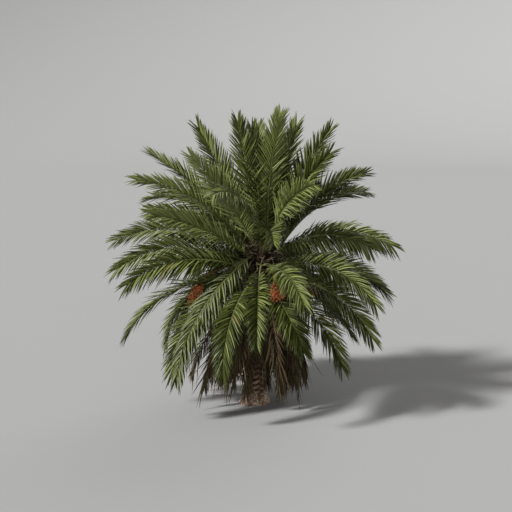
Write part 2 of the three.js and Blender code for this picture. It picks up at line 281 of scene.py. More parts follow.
def streak_group():
    """Fibre streaks: fine grain drawn out along one axis, as a mask and as a height."""
    tree, given, result = new_tree(
        "fibre_streaks", "ShaderNodeTree",
        {"Fineness": "Float", "Stretch": "Vector"}, {"Mask": "Float", "Height": "Float"})
    place = add_node(tree, "ShaderNodeTexCoord", {})["Object"]
    drawn = add_node(tree, "ShaderNodeMapping", {"Vector": place, "Scale": given["Stretch"]})
    grain = add_node(tree, "ShaderNodeTexNoise", {
        "Vector": drawn["Vector"], "Scale": given["Fineness"], "Detail": 6, "Roughness": 0.65})
    blotch = add_node(tree, "ShaderNodeTexNoise", {"Vector": place, "Scale": 7, "Detail": 3})
    both = add_node(tree, "ShaderNodeMix", {"Factor": 0.4, "A": grain["Fac"], "B": blotch["Fac"]})
    tree.links.new(both["Result"], result["Mask"])
    tree.links.new(grain["Fac"], result["Height"])
    return tree


fibre_streaks = streak_group()


def raised_streaks(tree, shader, fineness, stretch, bump, depth):
    """Fibre streaks that roughen a shader's surface, with a mask for its colour or gloss to follow."""
    streaks = add_node(tree, "ShaderNodeGroup", {"Fineness": fineness, "Stretch": stretch},
                       node_tree=fibre_streaks)
    raised = add_node(tree, "ShaderNodeBump", {
        "Strength": bump, "Distance": depth, "Height": streaks["Height"]})
    tree.links.new(raised["Normal"], shader.inputs["Normal"])
    return streaks["Mask"]


def fibrous(name, tones, fineness, stretch, roughness, bump, layer=None, layer_share=0.6,
            places=(0.35, 0.50, 0.66)):
    """Fibrous finish: tones at places along a streaky mask, led by a painted layer if one is named."""
    made, tree, shader = principled(name, tones[0], roughness, specular=0.2)
    lead = raised_streaks(tree, shader, fineness, stretch, bump, depth=0.01)
    if layer:
        painted = add_node(tree, "ShaderNodeAttribute", {}, attribute_name=layer)
        lead = add_node(tree, "ShaderNodeMix", {
            "Factor": layer_share, "A": lead, "B": painted["Fac"]})["Result"]
    ramp = tree.nodes.new("ShaderNodeValToRGB")
    while len(ramp.color_ramp.elements) < len(tones):
        ramp.color_ramp.elements.new(1.0)
    for element, place, tone in zip(ramp.color_ramp.elements, places, tones):
        element.position = place
        element.color = (*tone, 1)
    tree.links.new(lead, ramp.inputs["Fac"])
    tree.links.new(ramp.outputs["Color"], shader.inputs["Base Color"])
    return made


stem_heights = np.linspace(0, HEART_Z, TRUNK_ROWS)
dome_heights = HEART_Z + HEART_RISE * np.sin(np.radians(np.linspace(0, DOME_TURN, DOME_ROWS)[1:]))
heights = np.concatenate([stem_heights, dome_heights])
turn, z = np.meshgrid(np.linspace(0, 2 * math.pi, TRUNK_COLUMNS, endpoint=False), heights)
climb = z / SCAR_HEIGHT + SCAR_WANDER * ripple(turn, z, *SCAR_WAVES)
left_row = SCAR_SPIRALS[0] * turn / (2 * math.pi) + climb
right_row = -SCAR_SPIRALS[1] * turn / (2 * math.pi) + climb
leaf_number = np.floor(left_row) * SCAR_SPIRALS[1] + np.floor(right_row) * SCAR_SPIRALS[0]
chance = (np.sin(leaf_number * KNOB_SCATTER[0]) * KNOB_SCATTER[1]) % 1
left_share, right_share = left_row % 1, right_row % 1
knob = (1 - np.abs(2 * left_share - 1) ** KNOB_FULLNESS) * (1 - np.abs(2 * right_share - 1) ** KNOB_FULLNESS)
knob_slope = KNOB_FOOT - KNOB_SLOPE * 0.5 * (left_share + right_share)
fibre = ripple(turn, z, *FIBRE_WAVES)
lumps = ripple(turn, z, *LUMP_WAVES)
rooty = np.exp(-z / ROOT_HEIGHT)
relief = SCAR_DEPTH * (1 - rooty) * (knob * (KNOB_LEAST + chance) * knob_slope - KNOB_GROOVE)
relief += fibre * (FIBRE_DEPTH + FIBRE_FOOT_DEPTH * rooty) + lumps * (LUMP_DEPTH + LUMP_FOOT_DEPTH * rooty)
narrowing = np.where(z > HEART_Z, trunk_radius(z) / HEART_RADIUS, 1)
trunk_points = on_trunk(turn, z, relief * narrowing).reshape(-1, 3)
foot_centre, top_centre = len(trunk_points), len(trunk_points) + 1
top_ring = foot_centre - TRUNK_COLUMNS
column = np.arange(TRUNK_COLUMNS)
beside = (column + 1) % TRUNK_COLUMNS
under = np.stack([np.full(TRUNK_COLUMNS, foot_centre), beside, column], -1)
over = np.stack([np.full(TRUNK_COLUMNS, top_centre), top_ring + column, top_ring + beside], -1)
trunk_points = np.concatenate([trunk_points, [[0, 0, 0], [LEAN, 0, HEART_Z + HEART_RISE]]])
trunk = mesh_object("trunk_bark", trunk_points, grid_faces(len(heights), TRUNK_COLUMNS),
                    np.concatenate([under, over]))
smooth(trunk, TRUNK_EDGE)
# Painted light on the knobs, more on the higher ones, and on the fibre ridges; the grooves between them stay
# dark as painted shade
pale = GROOVE_PALE + knob * (KNOB_PAINTED_LIGHT + HIGH_KNOB_PAINTED_LIGHT * chance) * (1 - rooty)
pale += RIDGE_PAINTED_LIGHT * fibre + FOOT_PALE * rooty
# Painted shade of the crown: the bark dims towards the heart and darkens most just under it
pale = pale * (1 - CROWN_SHADE_SHARE * smoothstep(z, *CROWN_SHADE_Z)) - HEART_SHADE_LOSS * smoothstep(z, *HEART_SHADE_Z)
paint_points(trunk, "pale", np.append(np.clip(pale, 0, 1), [0, 0]))
trunk.data.materials.append(fibrous(
    "bark", BARK_TONES, fineness=34.0, stretch=(1, 1, 0.25), roughness=0.92, bump=0.6, layer="pale",
    places=BARK_PLACES))
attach(trunk, "root")
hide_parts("trunk")

# Roots and trunk fibre
# Cord-like roots cling to the flared foot down to the ground, and loose brown fibres of rotted leaf
# bases hang from the knobs of the trunk and stand out from it just below the heart.
ROOT_SEED = 17
ROOTS = 230
ROOT_STEPS = 8
ROOT_RADIUS = 0.0085
ROOT_TIP_SHARE = 0.6
ROOT_TOP_Z = (0.03, 0.34)
ROOT_DIVE = 1.2
# Roots' ways: swing to the side and its waves, unevenness, then seat, bow and spread off the foot's surface
ROOT_SWING = 0.09
ROOT_SWING_WAVES = 4
ROOT_UNEVEN = 0.012
ROOT_SEAT = 0.006
ROOT_BOW = 0.012
ROOT_SPREAD = 0.030
ROOT_TONES = [(0.230, 0.135, 0.090), (0.560, 0.385, 0.285), (0.950, 0.800, 0.670)]
ROOT_PLACES = (0.40, 0.50, 0.57)
FIBRES = 1500
FIBRE_STEPS = 4
FIBRE_RADIUS = 0.0017
FIBRE_TIP_SHARE = 0.25
FIBRE_Z = (0.25, 2.90)
FIBRE_LENGTH = (0.05, 0.17)
FIBRE_UNEVEN = 0.06
FIBRE_SUNK = 0.004
# Low on the stem fibres hang, and above they stand out: heights of the change, then reach and fall as shares
# of their length, and how the fall grows towards their ends
STANDING_Z = (2.2, 2.7)
HANGING_REACH = 0.16
STANDING_REACH = 0.80
HANGING_FALL = 0.95
STANDING_FALL = -0.45
FALL_POWER = 1.4
FIBRE_TONES = [(0.045, 0.027, 0.014), (0.110, 0.070, 0.038), (0.230, 0.160, 0.095)]


def lines_host(name, lines):
    """A mesh of open lines from an array of lines, steps and coordinates."""
    count, steps = lines.shape[:2]
    starts = np.arange(count)[:, None] * steps + np.arange(steps - 1)[None]
    edges = np.stack([starts, starts + 1], -1).reshape(-1, 2)
    mesh = bpy.data.meshes.new(name)
    mesh.from_pydata(lines.reshape(-1, 3).tolist(), edges.tolist(), [])
    return placed(name, mesh)


def growing_tree(name, takes):
    """An empty geometry node tree that grows something on a host in a material, with its named inputs."""
    sockets = {"Geometry": "Geometry", **takes, "Material": "Material"}
    return new_tree(name, "GeometryNodeTree", sockets, {"Geometry": "Geometry"})


def finish_tree(tree, source, given, result):
    """Closes a tree with real geometry in the material given by its input."""
    real = add_node(tree, "GeometryNodeRealizeInstances", {"Geometry": source})
    finished = add_node(tree, "GeometryNodeSetMaterial", {
        "Geometry": real["Geometry"], "Material": given["Material"]})
    tree.links.new(finished["Geometry"], result["Geometry"])
    return tree


def grown(host, tree, values):
    """The host's mesh after a node tree with the given inputs, kept as a plain mesh."""
    modifier = host.modifiers.new(tree.name, "NODES")
    modifier.node_group = tree
    for socket in tree.interface.items_tree:
        if socket.in_out == "INPUT" and socket.name in values:
            modifier[socket.identifier] = values[socket.name]
    depsgraph = bpy.context.evaluated_depsgraph_get()
    mesh = bpy.data.meshes.new_from_object(host.evaluated_get(depsgraph))
    host.modifiers.clear()
    host.data = mesh
    return host


def thread_tree():
    """Round threads along a host's lines, thinner towards their ends."""
    tree, given, result = growing_tree("threads", {"Radius": "Float", "Tip share": "Float", "Sides": "Int"})
    lines = add_node(tree, "GeometryNodeMeshToCurve", {"Mesh": given["Geometry"]})
    section = add_node(tree, "GeometryNodeCurvePrimitiveCircle", {
        "Radius": given["Radius"], "Resolution": given["Sides"]})
    share = add_node(tree, "GeometryNodeSplineParameter", {})
    taper = add_node(tree, "ShaderNodeMapRange", {
        "Value": share["Factor"], "To Min": 1.0, "To Max": given["Tip share"]})
    thread = add_node(tree, "GeometryNodeCurveToMesh", {
        "Curve": lines["Curve"], "Profile Curve": section["Curve"], "Scale": taper["Result"],
        "Fill Caps": True})
    return finish_tree(tree, thread["Mesh"], given, result)


threads = thread_tree()
draws = np.random.default_rng(ROOT_SEED)
step = np.linspace(0, 1, ROOT_STEPS)[None]
root_z = ROOT_RADIUS + draws.uniform(*ROOT_TOP_Z, (ROOTS, 1)) * (1 - step) ** ROOT_DIVE
root_turn = draws.uniform(0, 2 * math.pi, (ROOTS, 1))
root_turn = root_turn + draws.normal(0, ROOT_SWING, (ROOTS, 1)) * np.sin(ROOT_SWING_WAVES * step)
root_turn = root_turn + draws.normal(0, ROOT_UNEVEN, (ROOTS, ROOT_STEPS))
root_out = ROOT_SEAT + ROOT_BOW * np.sin(math.pi * step)
root_out = root_out + draws.uniform(0, ROOT_SPREAD, (ROOTS, 1)) * step ** 2
root_skin = fibrous("root_cord", ROOT_TONES, fineness=40.0, stretch=(1, 1, 0.6), roughness=0.9, bump=0.4,
                    places=ROOT_PLACES)
roots = grown(lines_host("foot_roots", on_trunk(root_turn, root_z, root_out)), threads, {
    "Radius": ROOT_RADIUS, "Tip share": ROOT_TIP_SHARE, "Sides": 6, "Material": root_skin})

step = np.linspace(0, 1, FIBRE_STEPS)[None]
fibre_z = draws.uniform(*FIBRE_Z, (FIBRES, 1))
fibre_turn = draws.uniform(0, 2 * math.pi, (FIBRES, 1))
fibre_turn = fibre_turn + draws.normal(0, FIBRE_UNEVEN, (FIBRES, FIBRE_STEPS)) * step
standing = smoothstep(fibre_z, *STANDING_Z)
fibre_long = draws.uniform(*FIBRE_LENGTH, (FIBRES, 1)) * (1 + standing)
fibre_out = fibre_long * (HANGING_REACH + (STANDING_REACH - HANGING_REACH) * standing) * step - FIBRE_SUNK
fibre_fall = fibre_long * (HANGING_FALL + (STANDING_FALL - HANGING_FALL) * standing) * step ** FALL_POWER
fibre_lines = on_trunk(fibre_turn, fibre_z + 0 * step, fibre_out)
fibre_lines[..., 2] -= fibre_fall
fibre_skin = fibrous("trunk_fibre", FIBRE_TONES, fineness=60.0, stretch=(1, 1, 1), roughness=0.9, bump=0.2)
fibres = grown(lines_host("trunk_fibres", fibre_lines), threads, {
    "Radius": FIBRE_RADIUS, "Tip share": FIBRE_TIP_SHARE, "Sides": 4, "Material": fibre_skin})
for piece in (roots, fibres):
    smooth(piece)
    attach(piece, "root")

# Old leaf bases
# Stubs of fallen fronds still clasp the upper trunk and the heart: thick woody wedges, broad where they
# grow from the stem, set round it in a spiral and pointing up and out.
OLD_BASES = 92
BASE_Z = (1.55, 3.42)
BASE_STEP_TURN = math.radians(137.5)
BASE_RISE = 58
BASE_RISE_SPREAD = 7
BASE_SUNK = 0.02
BASE_SIDES = 8
BASE_EDGE = 40
# Rings of the stub from root to cut end: place along it, half width and half thickness
BASE_RINGS = [
    (-0.25, 0.30, 0.20), (0.15, 0.28, 0.17), (0.55, 0.22, 0.13), (0.9, 0.19, 0.10), (1.0, 0.16, 0.07)]
# Its upper side is flatter than the half thickness, and its keel is deeper
BASE_TOP = 0.6
BASE_KEEL = 1.3
# Dark brown stub wood, darkened further as painted shade under the crown
SHADED_STUB_TONES = [(0.016, 0.010, 0.006), (0.036, 0.024, 0.014), (0.100, 0.068, 0.043)]
# Sockets of a Random Value node that hold plain numbers: the least, the most and the value drawn
LEAST_NUMBER = 2
MOST_NUMBER = 3
DRAWN_NUMBER = 1
upright = np.array([0, 0, 1.0])


def level_way(turn):
    """Level vectors that point away from the stem at angles in radians."""
    return np.stack([np.cos(turn), np.sin(turn), 0 * turn], -1)


def raised_way(way, rise):
    """Level vectors raised by angles in radians."""
    return way * np.cos(rise)[:, None] + upright * np.sin(rise)[:, None]


def joined_tubes(name, tubes):
    """One mesh from many tubes of rings, each closed at both ends."""
    points, quads, triangles, first = [], [], [], 0
    for ring in tubes:
        rows, columns = ring.shape[:2]
        points.append(ring.reshape(-1, 3))
        points.append([ring[0].mean(0), ring[-1].mean(0)])
        quads.append(grid_faces(rows, columns, first))
        here = np.arange(columns)
        beside = (here + 1) % columns
        start, end = first + rows * columns, first + rows * columns + 1
        last = first + (rows - 1) * columns
        triangles.append(np.stack([np.full(columns, start), first + beside, first + here], -1))
        triangles.append(np.stack([np.full(columns, end), last + here, last + beside], -1))
        first += rows * columns + 2
    return mesh_object(name, np.concatenate(points), np.concatenate(quads), np.concatenate(triangles))


def keeled_section(sides, flat_top, keel):
    """Shares across and up round a section of half width one, with its own height of top and keel."""
    around = np.linspace(0, 2 * math.pi, sides, endpoint=False)
    return np.cos(around), np.where(np.sin(around) > 0, flat_top, keel) * np.sin(around)


def mold(name, rings, sides, flat_top, keel, edge):
    """A closed mold along +Z, from rows of place, half width and half thickness."""
    across, up = keeled_section(sides, flat_top, keel)
    made = joined_tubes(name, [np.array([
        np.stack([half * across, thick * up, np.full(sides, place)], -1) for place, half, thick in rings])])
    smooth(made, edge)
    return made


def points_host(name, points, ahead, upper):
    """A mesh of loose points that each carry the way a planted piece points and its upper side."""
    made = mesh_object(name, points)
    for label, values in (("ahead", ahead), ("upper", upper)):
        layer = made.data.attributes.new(label, "FLOAT_VECTOR", "POINT")
        layer.data.foreach_set("vector", np.asarray(values, np.float32).ravel())
    return made


def planted_tree():
    """A mold set on a host's points, aimed by each point, with sizes at random."""
    tree, given, result = growing_tree("planted", {
        "Mold": "Object", "Least size": "Float", "Greatest size": "Float", "Seed": "Int"})
    molded = add_node(tree, "GeometryNodeObjectInfo", {"Object": given["Mold"]})
    ahead, upper = [
        add_node(tree, "GeometryNodeInputNamedAttribute", {"Name": label}, data_type="FLOAT_VECTOR")
        for label in ("ahead", "upper")]
    aim = add_node(tree, "FunctionNodeAlignRotationToVector", {"Vector": ahead["Attribute"]}, axis="Z")
    roll = add_node(tree, "FunctionNodeAlignRotationToVector", {
        "Rotation": aim["Rotation"], "Vector": upper["Attribute"]}, axis="Y", pivot_axis="Z")
    size = add_node(tree, "FunctionNodeRandomValue", {
        LEAST_NUMBER: given["Least size"], MOST_NUMBER: given["Greatest size"], "Seed": given["Seed"]})
    set_out = add_node(tree, "GeometryNodeInstanceOnPoints", {
        "Points": given["Geometry"], "Instance": molded["Geometry"], "Rotation": roll["Rotation"],
        "Scale": size[DRAWN_NUMBER]})
    return finish_tree(tree, set_out["Instances"], given, result)


planted = planted_tree()
base_mold = mold("leaf_base_mold", BASE_RINGS, BASE_SIDES, BASE_TOP, BASE_KEEL, BASE_EDGE)
base_turn = np.arange(OLD_BASES) * BASE_STEP_TURN
base_rise = np.radians(BASE_RISE + draws.normal(0, BASE_RISE_SPREAD, OLD_BASES))
base_way = level_way(base_turn)
base_points = on_trunk(base_turn, np.linspace(*BASE_Z, OLD_BASES), -BASE_SUNK)
base_host = points_host("old_leaf_bases", base_points, raised_way(base_way, base_rise),
                        raised_way(base_way, base_rise + math.pi / 2))
stub_skin = fibrous("old_leaf_base", SHADED_STUB_TONES, fineness=30.0, stretch=(1, 1, 0.4), roughness=0.9, bump=0.5)
old_bases = grown(base_host, planted, {
    "Mold": base_mold, "Least size": 0.17, "Greatest size": 0.27, "Seed": 5, "Material": stub_skin})
bpy.data.objects.remove(base_mold)
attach(old_bases, "root")

# Frond ribs
# Each green frond is one long leaf whose stiff rib grows from a broad base on the heart, rises,
# and arches over under its own weight. It is brown at the base and yellow green further out.
RIB_SEED = 43
BEND_POWER = 1.5
TWIST_RATE = 2.0
RIB_STEPS = 40
RIB_SIDES = 6
RIB_TIP_WIDTH = 0.010
RIB_TAPER_RATE = 1.15
RIB_TAPER_POWER = 0.6
RIB_SUNK = 0.06
# The base of a green rib widens into a sheath: by how much, and over what share of its length
SHEATH_SPREAD = 1.1
SHEATH_SHARE = 0.035
# Rings from the heart outward: height, width of the base, and rows of azimuth, rise, bend and twist in
# degrees and length
RINGS = {
    "spear": (3.884, 0.040, [(185, 88, 6, -60, 2.35), (40, 85, 8, 20, 2.60)]),
    "erect": (3.810, 0.046, [
        (-50, 89, 20, -35, 2.76), (-152, 81, 4, 50, 2.65), (95, 79, 30, 0, 2.65), (33, 78, 12, 40, 2.60)]),
    "high": (3.725, 0.054, [
        (173, 65, 4, -62, 2.85), (8, 67, 12, 50, 2.80), (-60, 55, 44, 114, 2.45),
        (-126, 71, 84, -30, 2.20), (78, 55, 35, 0, 2.80)]),
    "rising": (3.620, 0.060, [
        (-15, 70, 28, 85, 2.50), (-142, 57, 16, 50, 2.70), (120, 50, 40, 0, 2.80),
        (25, 49, 40, 40, 2.90), (164, 47, 18, -20, 3.15)]),
    "mid": (3.497, 0.064, [
        (-172, 51, 45, -50, 3.10), (-86, 37, 60, 0, 2.70), (84, 35, 45, 0, 2.80), (-138, -27, 52, -30, 3.45),
        (149, 44, 62, -30, 3.25), (-25, 31, 62, 66, 2.40)]),
    "spread": (3.365, 0.066, [
        (-151, 34, 23, -60, 2.75), (26, 53, 58, 35, 2.90), (173, 28, 54, -65, 3.25),
        (-11, 34, 66, 60, 2.80), (-169, 40, 32, -55, 2.50)]),
    "level": (3.227, 0.068, [
        (-172, 24, 62, -68, 3.15), (-71, 6, 44, 10, 2.40), (74, 12, 60, 0, 2.80), (124, 10, 60, 0, 2.80),
        (-93, 12, 94, 0, 3.20), (10, 5, 54, 45, 2.82)]),
    "low": (3.100, 0.068, [
        (-156, 21, 58, -66, 3.05), (-38, 19, 70, 45, 2.92), (46, -6, 65, 0, 2.80), (150, -16, 58, 0, 2.70),
        (98, 2, 60, 0, 2.75)]),
    "fall": (2.980, 0.066, [
        (-167, 0, 59, 0, 3.20), (-32, 0, 61, 45, 2.88), (22, -26, 31, 0, 2.55), (-111, -8, 84, -10, 3.05),
        (172, -10, 76, -20, 2.75)]),
    "hang": (2.860, 0.062, [
        (-142, -10, 74, -25, 3.05), (-45, -15, 54, 15, 2.75), (72, -22, 60, 0, 2.70),
        (122, -22, 60, 0, 2.70), (-67, -21, 24, 10, 2.25)]),
}
# Shorter fronds that fill the inside of the crown behind the heart: the sweep of azimuths for each ring,
# the number in each, and how they differ
INNER_SWEEPS = {
    "rising": (76, 150), "spread": (76, 160), "level": (50, 160), "low": (60, 165), "fall": (50, 152)}
INNER_FRONDS = 7
INNER_DROP = 0.06
INNER_SCATTER = 6
INNER_BEND = 45
INNER_TWIST = 20
INNER_LENGTH = (2.0, 2.35)
RIB_TONES = [(0.040, 0.026, 0.014), (0.120, 0.100, 0.042), (0.200, 0.210, 0.070), (0.120, 0.146, 0.034)]
RIB_PLACES = (0.05, 0.10, 0.19, 0.95)


def turned(vectors, axes, angles):
    """Vectors turned about unit axes by angles in radians, row by row."""
    cos, sin = np.cos(angles)[:, None], np.sin(angles)[:, None]
    kept = np.sum(axes * vectors, 1, keepdims=True)
    return vectors * cos + np.cross(axes, vectors) * sin + axes * kept * (1 - cos)


def unit(vectors):
    """Vectors brought to a length of one."""
    return vectors / np.linalg.norm(vectors, axis=-1, keepdims=True)


def rib_curve(azimuth, rise, bend, twist, length, z, seat=None, steps=RIB_STEPS):
    """Stations along a rib: share of its length, place, direction, left side and upper side."""
    seat = math.radians(azimuth if seat is None else seat)
    heading = level_way(math.radians(azimuth))
    share = np.linspace(0, 1, steps + 1)
    middle = (share[1:] + share[:-1]) / 2
    strides = raised_way(heading, np.radians(rise - bend * middle ** BEND_POWER)) * length / steps
    place = on_trunk(seat, np.asarray(z), 0) + np.concatenate([np.zeros((1, 3)), np.cumsum(strides, 0)])
    tangent = raised_way(heading, np.radians(rise - bend * share ** BEND_POWER))
    side = np.repeat([[-heading[1], heading[0], 0]], steps + 1, 0)
    side = turned(side, tangent, math.radians(twist) * np.minimum(1, TWIST_RATE * share))
    return {"share": share, "place": place, "tangent": tangent, "side": side,
            "upper": np.cross(tangent, side), "length": length}


def rib_half_width(share, base, tip=RIB_TIP_WIDTH):
    """Half the width of a rib at a share of its length."""
    taper = np.minimum(1, share * RIB_TAPER_RATE) ** RIB_TAPER_POWER
    return 0.5 * (base + (tip - base) * taper)


def rib_tube(rib, half, flat_top, keel):
    """Rings of a rib with a flattish top and a rounded keel, the first ring sunk into the trunk."""
    across, up = keeled_section(RIB_SIDES, flat_top, keel)
    place = rib["place"].copy()
    place[0] -= rib["tangent"][0] * RIB_SUNK
    return place[:, None] + half[:, None, None] * (
        across[None, :, None] * rib["side"][:, None] + up[None, :, None] * rib["upper"][:, None])


green_fronds = []
for ring_name, (ring_z, ring_base, rows) in RINGS.items():
    for index, row in enumerate(rows):
        rib = rib_curve(*row, ring_z)
        rib.update(ring=ring_name, name=f"frond_{ring_name}_{index + 1}", base=ring_base)
        green_fronds.append(rib)
frond_names = [rib["name"] for rib in green_fronds]

draws = np.random.default_rng(RIB_SEED)
for ring_name, sweep in INNER_SWEEPS.items():
    ring_z, ring_base, rows = RINGS[ring_name]
    rise = np.mean([row[1] for row in rows])
    for azimuth in np.linspace(*sweep, INNER_FRONDS) + draws.normal(0, INNER_SCATTER, INNER_FRONDS):
        rib = rib_curve(azimuth, rise + draws.normal(0, INNER_SCATTER), INNER_BEND,
                        draws.normal(0, INNER_TWIST), draws.uniform(*INNER_LENGTH), ring_z - INNER_DROP)
        rib.update(ring=ring_name, name="inner", base=ring_base)
        green_fronds.append(rib)

rib_tubes = []
for rib in green_fronds:
    half = rib_half_width(rib["share"], rib["base"])
    half = half * (1 + SHEATH_SPREAD * np.exp(-rib["share"] / SHEATH_SHARE))
    rib_tubes.append(rib_tube(rib, half, flat_top=0.32, keel=0.62))
green_ribs = joined_tubes("green_ribs", rib_tubes)
smooth(green_ribs)
paint_points(green_ribs, "share", np.concatenate([
    np.append(np.repeat(rib["share"], RIB_SIDES), [0, 1]) for rib in green_fronds]))
green_ribs.data.materials.append(fibrous(
    "green_rib", RIB_TONES, fineness=45.0, stretch=(1, 1, 0.4), roughness=0.45, bump=0.2,
    layer="share", layer_share=0.9, places=RIB_PLACES))
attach(green_ribs, "root")
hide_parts(*frond_names)

# Spines
# The lowest leaflets on each rib have hardened into sharp spines that stand out on both sides of the
# bare stalk, in the same yellow green.
SPINES_A_SIDE = 11
SPINE_STRETCH = (0.05, 0.15)
SPINE_SCATTER = 0.004
SPINE_SIDES = 4
SPINE_EDGE = 60
# Rings of a spine from root to point: place along it, half width and half thickness
SPINE_RINGS = [(0, 0.045, 0.045), (0.5, 0.027, 0.027), (1, 0.00225, 0.00225)]
# Spines stand on the rib a share of its half width out, and point aside, ahead and up, each a little off
SPINE_SEAT = 0.8
SPINE_ASIDE = 0.8
SPINE_AHEAD = 0.45
SPINE_UP = 0.3
SPINE_LEAN = 0.16
SPINE_TONES = [(0.150, 0.130, 0.050), (0.230, 0.240, 0.090), (0.300, 0.310, 0.130)]


def along(rib, name, share):
    """A rib's vectors read off between its stations."""
    return np.stack([np.interp(share, rib["share"], rib[name][:, k]) for k in range(3)], -1)


spine_mold = mold("spine_mold", SPINE_RINGS, SPINE_SIDES, flat_top=1, keel=1, edge=SPINE_EDGE)
spine_points, spine_ahead, spine_upper = [], [], []
for rib in green_fronds:
    for hand in (1, -1):
        share = np.linspace(*SPINE_STRETCH, SPINES_A_SIDE)
        share = share + draws.uniform(-SPINE_SCATTER, SPINE_SCATTER, SPINES_A_SIDE)
        side, upper = along(rib, "side", share) * hand, along(rib, "upper", share)
        half = rib_half_width(share, rib["base"])[:, None]
        spine_points.append(along(rib, "place", share) + SPINE_SEAT * half * side)
        lean = draws.normal(0, SPINE_LEAN, (SPINES_A_SIDE, 3))
        ahead = SPINE_AHEAD * along(rib, "tangent", share)
        spine_ahead.append(unit(SPINE_ASIDE * side + ahead + SPINE_UP * upper + lean))
        spine_upper.append(upper)
spine_host = points_host("spines", np.concatenate(spine_points), np.concatenate(spine_ahead),
                         np.concatenate(spine_upper))
spine_skin = fibrous("spine", SPINE_TONES, fineness=50.0, stretch=(1, 1, 1), roughness=0.45, bump=0.15)
spines = grown(spine_host, planted, {
    "Mold": spine_mold, "Least size": 0.06, "Greatest size": 0.15, "Seed": 8, "Material": spine_skin})
bpy.data.objects.remove(spine_mold)
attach(spines, "root")

# Leaflets
# Two dense rows of narrow pointed leaflets stand along each rib, folded upward along their middle.
# They spread wide near the base and close up towards the tip, and droop more on the older fronds.
LEAFLET_SEED = 11
LEAFLETS_A_SIDE = 90
INNER_LEAFLETS_A_SIDE = 64
LEAFLET_START = 0.09
LEAFLET_LENGTH = 0.66
LEAFLET_WIDTH = 0.037
LEAFLET_THICKNESS = 0.0026
LEAFLET_FOLD = 0.34
# Leaflets stand in three ranks, the first above the others: lift of each in degrees
RANK_LIFT = np.array([15, -16, -2])
LEAFLET_ANGLES = (57, 19)
# Length of the first and last leaflets against the longest, and where that stands
FIRST_LEAFLET_SHARE = 0.45
LAST_LEAFLET_SHARE = 0.52
LONGEST_LEAFLET_AT = 0.34
# Share of the full width that a leaflet has however short it is
LEAST_WIDTH_SHARE = 0.7
# Leaflets grow from the side of the rib and a little above its middle, in shares of its half width
SEAT_ASIDE = 0.55
SEAT_UP = 0.1
# How leaflets differ: place in their stretch of rib, angle and lift in degrees, roll in radians, length,
# width and droop
PLACE_RANGE = (0.1, 0.9)
ANGLE_SPREAD = 4
LIFT_SPREAD = 5
ROLL_SPREAD = 0.22
LENGTH_SPREAD = 0.06
WIDTH_SPREAD = 0.08
DROOP_RANGE = (0.6, 1.5)
# Places along a blade from root to tip, and its width there against the widest
BLADE_STATIONS = np.array([0.0, 0.14, 0.36, 0.62, 0.84])
BLADE_WIDTHS = np.array([0.34, 0.84, 1.0, 0.82, 0.46])
# Ring by ring from the heart outward: lift of the blade in degrees, and droop of its leaflets
RING_LIFT = dict(zip(RINGS, (16, 20, 25, 27, 28, 28, 26, 24, 18, 15)))
RING_DROOP = dict(zip(RINGS, (0.02, 0.03, 0.04, 0.06, 0.10, 0.16, 0.20, 0.22, 0.18, 0.15)))
# Fronds whose leaflets stand or hang otherwise than their ring's: angles from the rib at the first leaflet
# and at the tip, lift there likewise, droop, longest leaflet, and bare share of the rib
OWN_BLADES = {
    "frond_level_5": ((76, 34), (38, 38), 0.16, 0.44, 0.45),
    "frond_level_2": ((60, 24), (26, 26), 0.40, 0.60, 0.16),
    "frond_high_3": ((54, 24), (14, 14), 0.12, 0.60, 0.12),
    "frond_high_4": ((60, 26), (10, 10), 0.45, 0.56, 0.14),
    "frond_mid_4": ((58, 24), (0, 10), 0.50, 0.52, 0.08),
    "frond_fall_4": ((56, 22), (16, 16), 0.18, 0.52, 0.30),
    "frond_spread_4": ((58, 22), (6, 12), 0.34, 0.64, 0.09),
    "frond_mid_6": ((64, 24), (8, 12), 0.34, 0.60, 0.09),
    "frond_spread_2": ((56, 26), (105, -10), 0.06, 0.62, 0.12),
}
# Leaf tints. The pale bluish new, bright and grey tints are partly the leaves' own paleness and partly a
# painted sheen; the deep and shade tints are mostly painted shade
GREENS = {
    "new": (0.268, 0.305, 0.098),
    "bright": (0.197, 0.232, 0.061),
    "olive": (0.117, 0.143, 0.024),
    "deep": (0.069, 0.086, 0.012),
    "shade": (0.044, 0.054, 0.008),
    "grey": (0.215, 0.240, 0.112),
    "straw": (0.300, 0.245, 0.090),
}
# Chance of each tint, in the order of GREENS: in the first rank of young, full-grown and old fronds, in the
# lower ranks and those of old fronds, whose darker tints are painted shade under the first rank, and in rows
# in painted shade, the dull ones
TINT_SHARES = {
    "young": (0.34, 0.38, 0.20, 0.02, 0.00, 0.06, 0.00),
    "grown": (0.20, 0.36, 0.28, 0.05, 0.00, 0.10, 0.01),
    "old": (0.14, 0.34, 0.32, 0.08, 0.00, 0.11, 0.01),
    "under": (0.00, 0.07, 0.28, 0.35, 0.28, 0.02, 0.00),
    "under_old": (0.00, 0.02, 0.12, 0.38, 0.48, 0.00, 0.00),
    "dull": (0.00, 0.01, 0.13, 0.40, 0.46, 0.00, 0.00),
}
AGES = ("young", "young", "young", "grown", "grown", "grown", "grown", "old", "old", "old")
RING_AGE = dict(zip(RINGS, AGES))
